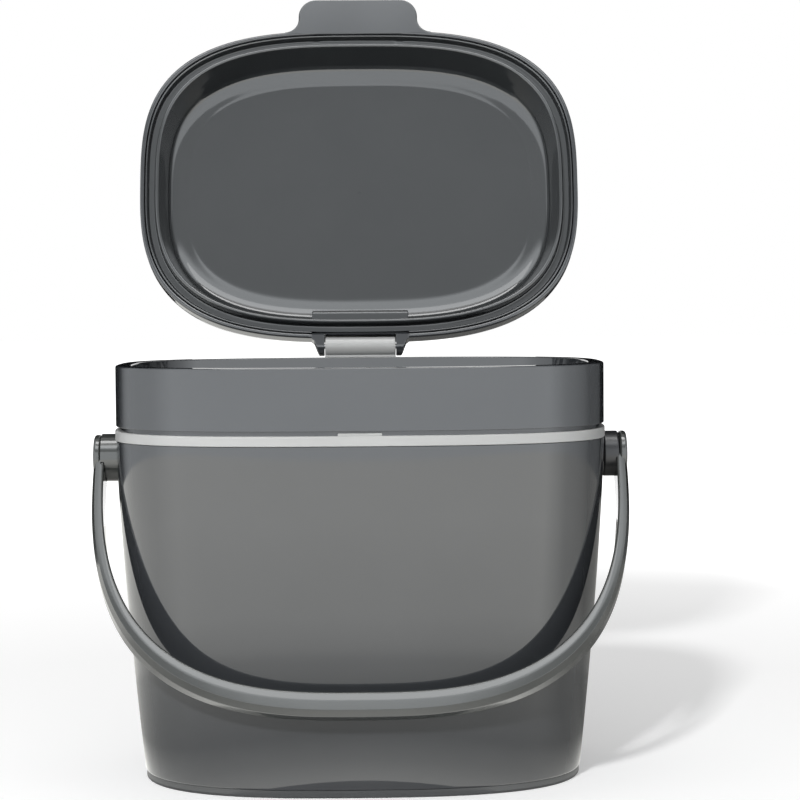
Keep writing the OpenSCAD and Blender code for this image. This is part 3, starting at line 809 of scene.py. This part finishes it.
def roundedOutline(corners):
    # points round a polygon, anticlockwise, whose corners are (x, y, radius, steps)
    out = []
    for i, (x, y, radius, steps) in enumerate(corners):
        corner = Vector((x, y))
        back = (Vector(corners[i - 1][:2]) - corner).normalized()
        on = (Vector(corners[(i + 1) % len(corners)][:2]) - corner).normalized()
        half = back.angle(on) / 2
        centre = corner + (back + on).normalized() * radius / math.sin(half)
        first = corner + back * radius / math.tan(half) - centre
        turn = math.pi - 2 * half
        for k in range(steps + 1):
            c, n = math.cos(turn * k / steps), math.sin(turn * k / steps)
            out.append(centre + Vector((first.x * c - first.y * n, first.x * n + first.y * c)))
    return out


def handleSection(thick, wide):
    # x is out from the bow's middle and y across it, the side that shows being the lower one
    s, h = sectionSizes, handleSizes
    outer, side = thick / 2, wide / 2
    gripShare = (thick - h["armThick"]) / (h["gripThick"] - h["armThick"])
    bulge = (s["armBulge"] + (s["gripBulge"] - s["armBulge"]) * gripShare) * (thick - s["strip"])
    return roundedOutline([
        (-outer, -side, s["innerRound"] * thick, 6),
        (-s["strip"] / 2, -side + s["faceIn"] - bulge, s["faceRound"] * thick, 6),
        (outer - s["strip"], -side + s["lineIn"], s["lineRound"], 3),
        (outer, -side + s["slantIn"], s["slantRound"], 4),
        (outer, side, s["backRound"], 5),
        (-outer, side, s["backRound"], 5),
    ])


def bowPoint(a, r, t):
    p = 2 / handleSizes["power"]
    c = math.cos(t)
    return Vector((a * math.copysign(abs(c) ** p, c), 0, -r * math.sin(t) ** p))


def makeHandle():
    s = handleSizes
    eyeOut = handleHigh.x
    lean = math.asin(halfD / (s["reach"] - s["gripThick"] / 2))     # the grip hangs level with the collar
    endTurn = math.radians(s["endTurn"])
    look = math.radians(s["lookTurn"])

    def skinPoint(ring, side):
        t = endTurn + (math.pi - 2 * endTurn) * ring / s["rings"]
        k = math.sin(t) ** 2
        thick = s["armThick"] + (s["gripThick"] - s["armThick"]) * k
        wide = s["armWide"] + (s["gripWide"] - s["armWide"]) * k
        a, r = eyeOut - thick / 2, s["reach"] - thick / 2
        ahead = (bowPoint(a, r, t + look) - bowPoint(a, r, t - look)).normalized()
        out = Vector((ahead.z, 0, -ahead.x))
        off, across = handleSection(thick, wide)[side]
        return bowPoint(a, r, t) - out * off + Vector((0, across, 0))

    sides = len(handleSection(s["gripThick"], s["gripWide"]))
    handle = gridSkin("bailHandle", s["rings"], sides, skinPoint)
    for side in (-1, 1):
        eyeAt = (side * (eyeOut - s["eyeThick"] / 2), 0, 0)
        combine(handle, cylinder("eye", bearingR, s["eyeThick"], eyeAt, "X", 96, s["eyeRound"], 5), "UNION")
    half = s["cutLong"] / 2
    headR = pivotSizes["head"] / 2 + s["headGap"]
    for side in (-1, 1):
        insideAt = (side * (eyeOut - s["eyeThick"] - half), 0, 0)
        cutWith(handle, cylinder("inside", bearingR + s["eyeGap"], s["cutLong"], insideAt, "X", 96))
        boreAt = (side * eyeOut, 0, 0)
        cutWith(handle, cylinder("bore", pivotSizes["pin"] / 2, s["boreLong"], boreAt, "X", 48))
        recessAt = (side * (eyeOut - pivotSizes["headThick"] + half), 0, 0)
        cutWith(handle, cylinder("recess", headR, s["cutLong"], recessAt, "X", 64))
    place(handle, Matrix.Translation((0, 0, pivotZ)) @ Matrix.Rotation(-lean, 4, "X"))
    dress(handle, finishes["handleGrey"], "handle_body", "handle")
    print("handle made")


# place in metres, turns in radians, and the focal length in pixels of a picture as many pixels wide
view = {
    "place": (0.0047, -1.3388, 0.2795), "aimRight": 0.0139, "aimDown": 0.0477, "roll": 0.0077,
    "focalPixels": 2285.7, "pixels": 800, "sensor": 36.0, "far": 50,
}


def makeCamera():
    data = bpy.data.cameras.new("camera")
    camera = bpy.data.objects.new("camera", data)
    bpy.context.scene.collection.objects.link(camera)
    data.sensor_width = view["sensor"]
    data.lens = view["focalPixels"] / view["pixels"] * view["sensor"]
    data.clip_end = view["far"]
    turn = Matrix.Rotation(-view["aimRight"], 4, "Z") @ Matrix.Rotation(math.pi / 2 - view["aimDown"], 4, "X")
    camera.matrix_world = Matrix.Translation(view["place"]) @ turn @ Matrix.Rotation(-view["roll"], 4, "Z")
    bpy.context.scene.camera = camera


studio = {
    "radius": 1.55,          # of the curved surround
    "high": 3.2,
    "sides": 180,
    "bright": 3.6,           # of the surround and the low card, white being 1
    "waves": 72,             # waves in the edges of the surround's bands, all round
    "waveHigh": 0.014,
    "tint": (0.96, 1.0, 1.03, 1),
    "backEdge": 172,         # degrees from straight in front to the surround's ends, behind the object
    "cardTint": (1.0, 1.0, 0.96, 1),
    "cardSides": 120,
    "cardInner": 0.11,       # inner radius of the low card that lies just above the floor
    "cardHigh": 0.0015,
    "floorWide": 24,
    "floorTone": 0.85,
    "worldDim": 0.42,        # brightness of the world for matt surfaces
}
lamps = {
    "keyLight": {"at": (-0.61, -2.0, 1.60), "target": (0, 0, 0.1), "wide": 0.22, "high": 0.22,
                 "bright": 225.0, "inMatt": True, "inGloss": False},
    "topFill": {"at": (0.0, 0.2, 2.8), "target": (0, 0, 0), "wide": 2.4, "high": 2.4,
                "bright": 0.4, "inMatt": True, "inGloss": False},
    "topBox": {"at": (0.0, -0.2, 2.2), "target": (0, -0.2, 0), "wide": 1.6, "high": 0.6,
               "bright": 7.0, "inMatt": False, "inGloss": True},
    "forwardBox": {"at": (0.0, -1.05, 2.1), "target": (0, -0.1, 0.1), "wide": 1.8, "high": 0.8,
                   "bright": 2.4, "inMatt": False, "inGloss": True},
}
# glow of the floor, for the camera and in gloss, by distance from the origin: weak near the object
floorGlow = [(0.0, 0.25), (0.45, 0.27), (0.85, 0.42), (1.3, 1.0), (2.0, 1.0)]
# brightness of the surround by azimuth in degrees from straight in front, left being negative
aroundLight = [
    (-172, 0.0), (-144, 0.0), (-136, 0.03), (-126, 0.2), (-119, 0.31), (-79, 0.67), (-60, 1.0), (62, 1.0),
    (80, 0.55), (114, 0.11), (142, 0.03), (144, 0.0), (172, 0.0),
]
# the same by height
upLight = [(0.0, 1.0), (1.08, 1.0), (1.09, 0.39), (1.58, 0.39), (1.8, 1.25), (3.2, 1.25)]
# brightness of the low card by distance from the origin, and by azimuth
cardLight = [
    (0.11, 0.85), (0.14, 0.55), (0.18, 0.32), (0.32, 0.56), (0.35, 0.75), (0.43, 0.92), (0.80, 1.05),
    (1.55, 1.05),
]
cardAround = [
    (-144, 0.30), (-119, 0.45), (-79, 0.75), (-60, 1.0), (60, 1.0), (80, 0.5), (114, 0.15), (144, 0.08),
]


def rampNode(tree, source, stops, low, high):
    # a line through (place, value) stops, read at the source's number
    spread = tree.nodes.new("ShaderNodeMapRange")
    spread.inputs["From Min"].default_value = low
    spread.inputs["From Max"].default_value = high
    tree.links.new(source, spread.inputs["Value"])
    ramp = tree.nodes.new("ShaderNodeValToRGB")
    while len(ramp.color_ramp.elements) < len(stops):
        ramp.color_ramp.elements.new(0.5)
    for element, (at, value) in zip(ramp.color_ramp.elements, stops):
        element.position = (at - low) / (high - low)
        element.color = (value, value, value, 1)
    tree.links.new(spread.outputs["Result"], ramp.inputs["Fac"])
    return ramp.outputs["Color"]


def mathNode(tree, kind, first, second=0.0):
    # first and second are each a number or another node's output
    node = tree.nodes.new("ShaderNodeMath")
    node.operation = kind
    for socket, value in zip(node.inputs, (first, second)):
        if isinstance(value, (int, float)):
            socket.default_value = value
        else:
            tree.links.new(value, socket)
    return node.outputs["Value"]


def seenDirectly(tree, path):
    # 1 for what the camera sees and what gloss shows, else 0
    return mathNode(tree, "MAXIMUM", path.outputs["Is Camera Ray"], path.outputs["Is Glossy Ray"])


def glowMaterial(name, tint, strengthFrom):
    # strengthFrom(tree, axes) makes the nodes that give the glow's strength
    mat = bpy.data.materials.new(name)
    mat.use_nodes = True
    tree = mat.node_tree
    tree.nodes.clear()
    out = tree.nodes.new("ShaderNodeOutputMaterial")
    glow = tree.nodes.new("ShaderNodeEmission")
    where = tree.nodes.new("ShaderNodeTexCoord")
    axes = tree.nodes.new("ShaderNodeSeparateXYZ")
    tree.links.new(where.outputs["Object"], axes.inputs["Vector"])
    glow.inputs["Color"].default_value = tint
    tree.links.new(strengthFrom(tree, axes.outputs), glow.inputs["Strength"])
    tree.links.new(glow.outputs["Emission"], out.inputs["Surface"])
    return mat


def stageCard(card, material):
    # a card that only gloss shows
    card.data.materials.append(material)
    card.visible_camera = False
    card.visible_shadow = False
    card.visible_transmission = False
    card.visible_diffuse = False


def azimuthFrom(tree, axes):
    back = mathNode(tree, "MULTIPLY", axes["Y"], -1.0)
    return mathNode(tree, "ARCTAN2", axes["X"], back)


def azimuthRamp(tree, azimuth, stops):
    inRadians = [(math.radians(at), value) for at, value in stops]
    return rampNode(tree, azimuth, inRadians, -math.pi, math.pi)


def surroundStrength(tree, axes):
    azimuth = azimuthFrom(tree, axes)
    around = azimuthRamp(tree, azimuth, aroundLight)
    wave = mathNode(tree, "SINE", mathNode(tree, "MULTIPLY", azimuth, studio["waves"]))
    rise = mathNode(tree, "MULTIPLY", wave, studio["waveHigh"])
    height = mathNode(tree, "ADD", axes["Z"], rise)
    upward = rampNode(tree, height, upLight, 0.0, studio["high"])
    both = mathNode(tree, "MULTIPLY", around, upward)
    return mathNode(tree, "MULTIPLY", both, studio["bright"])


def makeSurround():
    # an open hoop round the object, without its back
    deselectAll()
    bpy.ops.mesh.primitive_circle_add(vertices=studio["sides"], radius=studio["radius"], fill_type="NOTHING")
    card = bpy.context.object
    card.name = "surround"
    bpy.ops.object.mode_set(mode="EDIT")
    bpy.ops.mesh.extrude_region_move(TRANSFORM_OT_translate={"value": (0, 0, studio["high"])})
    bpy.ops.mesh.select_all(action="DESELECT")
    bpy.ops.object.mode_set(mode="OBJECT")
    edge = math.radians(studio["backEdge"])
    for v in card.data.vertices:
        v.select = abs(math.atan2(v.co.x, -v.co.y)) > edge
    bpy.ops.object.mode_set(mode="EDIT")
    bpy.ops.mesh.delete(type="VERT")
    bpy.ops.object.mode_set(mode="OBJECT")
    stageCard(card, glowMaterial("surroundGlow", studio["tint"], surroundStrength))


def lowCardStrength(tree, axes):
    across = mathNode(tree, "MULTIPLY", axes["X"], axes["X"])
    along = mathNode(tree, "MULTIPLY", axes["Y"], axes["Y"])
    away = mathNode(tree, "POWER", mathNode(tree, "ADD", across, along), 0.5)
    near = rampNode(tree, away, cardLight, 0.0, studio["radius"])
    around = azimuthRamp(tree, azimuthFrom(tree, axes), cardAround)
    both = mathNode(tree, "MULTIPLY", near, around)
    return mathNode(tree, "MULTIPLY", both, studio["bright"])


def makeLowCard():
    # a flat ring just above the floor
    deselectAll()
    inner, middle = studio["cardInner"], (0, 0, studio["cardHigh"])
    bpy.ops.mesh.primitive_circle_add(
        vertices=studio["cardSides"], radius=inner, fill_type="NOTHING", location=middle)
    card = bpy.context.object
    card.name = "lowCard"
    bpy.ops.object.transform_apply(location=True, rotation=True, scale=True)
    bpy.ops.object.mode_set(mode="EDIT")
    grow = studio["radius"] / inner
    bpy.ops.mesh.extrude_region_move()
    bpy.ops.transform.resize(value=(grow, grow, 1), center_override=middle)
    bpy.ops.mesh.select_all(action="SELECT")
    bpy.ops.mesh.normals_make_consistent(inside=False)
    bpy.ops.object.mode_set(mode="OBJECT")
    stageCard(card, glowMaterial("lowCardGlow", studio["cardTint"], lowCardStrength))


def makeLamp(name, at, target, wide, high, bright, inMatt, inGloss):
    data = bpy.data.lights.new(name, "AREA")
    data.shape = "RECTANGLE"
    data.size, data.size_y = wide, high
    data.energy = 4 * bright * wide * high          # watts that give this brightness
    lamp = bpy.data.objects.new(name, data)
    bpy.context.scene.collection.objects.link(lamp)
    aim = (Vector(target) - Vector(at)).to_track_quat("-Z", "Y").to_matrix().to_4x4()
    lamp.matrix_world = Matrix.Translation(at) @ aim
    lamp.visible_camera = False
    lamp.visible_diffuse = inMatt
    lamp.visible_glossy = inGloss


def floorMaterial():
    # white, with its shadows; a little glow keeps it clean white for the camera and in gloss
    mat = bpy.data.materials.new("studioFloor")
    mat.use_nodes = True
    tree = mat.node_tree
    shader = tree.nodes["Principled BSDF"]
    tone = studio["floorTone"]
    shader.inputs["Base Color"].default_value = (tone, tone, tone, 1)
    shader.inputs["Roughness"].default_value = 1.0
    shader.inputs["Specular IOR Level"].default_value = 0.0
    glow = tree.nodes.new("ShaderNodeEmission")
    where = tree.nodes.new("ShaderNodeTexCoord")
    away = tree.nodes.new("ShaderNodeVectorMath")
    away.operation = "LENGTH"
    tree.links.new(where.outputs["Object"], away.inputs[0])
    seen = seenDirectly(tree, tree.nodes.new("ShaderNodeLightPath"))
    far = rampNode(tree, away.outputs["Value"], floorGlow, 0.0, floorGlow[-1][0])
    tree.links.new(mathNode(tree, "MULTIPLY", seen, far), glow.inputs["Strength"])
    both = tree.nodes.new("ShaderNodeAddShader")
    tree.links.new(shader.outputs["BSDF"], both.inputs[0])
    tree.links.new(glow.outputs["Emission"], both.inputs[1])
    tree.links.new(both.outputs["Shader"], tree.nodes["Material Output"].inputs["Surface"])
    return mat


def makeFloor():
    deselectAll()
    bpy.ops.mesh.primitive_plane_add(size=studio["floorWide"], location=(0, 0, 0))
    floor = bpy.context.object
    floor.name = "studioFloor"
    floor.data.materials.append(floorMaterial())


def makeWorld():
    # white where it is seen, and dimmer where it lights matt surfaces
    world = bpy.data.worlds.new("studio")
    bpy.context.scene.world = world
    world.use_nodes = True
    tree = world.node_tree
    tree.nodes.clear()
    out = tree.nodes.new("ShaderNodeOutputWorld")
    sky = tree.nodes.new("ShaderNodeBackground")
    sky.inputs["Color"].default_value = (1, 1, 1, 1)
    path = tree.nodes.new("ShaderNodeLightPath")
    seen = mathNode(tree, "MAXIMUM", seenDirectly(tree, path), path.outputs["Is Transmission Ray"])
    tree.links.new(mathNode(tree, "MAXIMUM", seen, studio["worldDim"]), sky.inputs["Strength"])
    tree.links.new(sky.outputs["Background"], out.inputs["Surface"])


def makeStudio():
    makeFloor()
    makeWorld()
    makeSurround()
    makeLowCard()
    for name, values in lamps.items():
        makeLamp(name, **values)
    bpy.context.scene.view_settings.view_transform = "Standard"
    print("studio made")


makeBucket()
makeFoot()
makeRing()
makeCollar()
makeBracket()
makeScrews()
makeLidCover()
makeLidLiner()
for side in (-1, 1):
    makeBearing(side)
    makePivotPin(side)
print("bearings and pivot pins made")
makeHandle()
for slot in frame["nodes"]["hinge_pin"].material_slots:
    slot.material = finishes["steel"]
makeCamera()
makeStudio()
